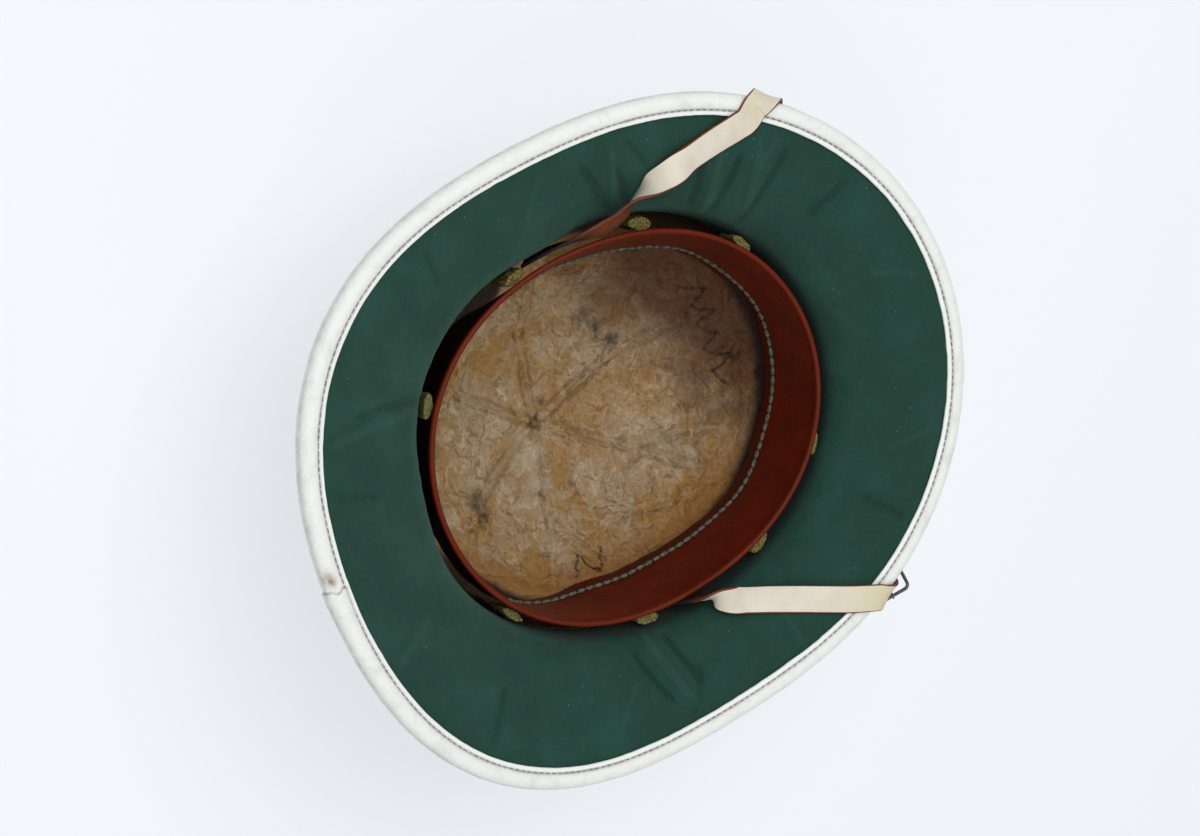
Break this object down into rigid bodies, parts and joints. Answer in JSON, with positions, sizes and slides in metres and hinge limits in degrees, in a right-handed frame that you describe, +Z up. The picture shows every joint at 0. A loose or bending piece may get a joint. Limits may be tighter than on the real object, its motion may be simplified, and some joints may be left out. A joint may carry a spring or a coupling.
{
  "type": "pith helmet",
  "caption": "Tropical pith helmet with a wide bound brim, green lined underside, leather sweatband on cork spacers and a narrow chin strap folded over the brim",
  "frame": {"origin": "on the surface that the inverted helmet lies on, under the middle of its outer box", "axes": "+Z up out of the head opening, -Y the front of the helmet, +X the wearer's right"},
  "size_m": [0.2784, 0.329, 0.1524],
  "materials": {
    "cover_cloth": "plain white cotton over pith, matte",
    "crown_paper": "varnished crumpled brown paper, satin",
    "green_cloth": "fine dark green cotton, matte",
    "white_leather": "white coated leather, soiled, satin",
    "brown_leather": "smooth red-brown leather, glossy at the rim",
    "cork": "olive brown cork, matte",
    "strap_leather": "cream faced leather with red-brown edges, satin",
    "buckle_metal": "dark worn metal"
  },
  "bodies": {
    "root": {"shell": "cover_cloth", "crown_button": "cover_cloth", "crown_lining": "crown_paper", "brim_lining": "green_cloth", "edge_binding": "white_leather", "sweatband": "brown_leather", "cork_spacer_1": "cork", "cork_spacer_2": "cork", "cork_spacer_3": "cork", "cork_spacer_4": "cork", "cork_spacer_5": "cork", "cork_spacer_6": "cork", "cork_spacer_7": "cork", "cork_spacer_8": "cork", "chin_strap": "strap_leather", "strap_tip": "strap_leather", "strap_keeper": "brown_leather", "buckle_frame": "buckle_metal", "buckle_tongue": "buckle_metal"}
  },
  "joints": []
}
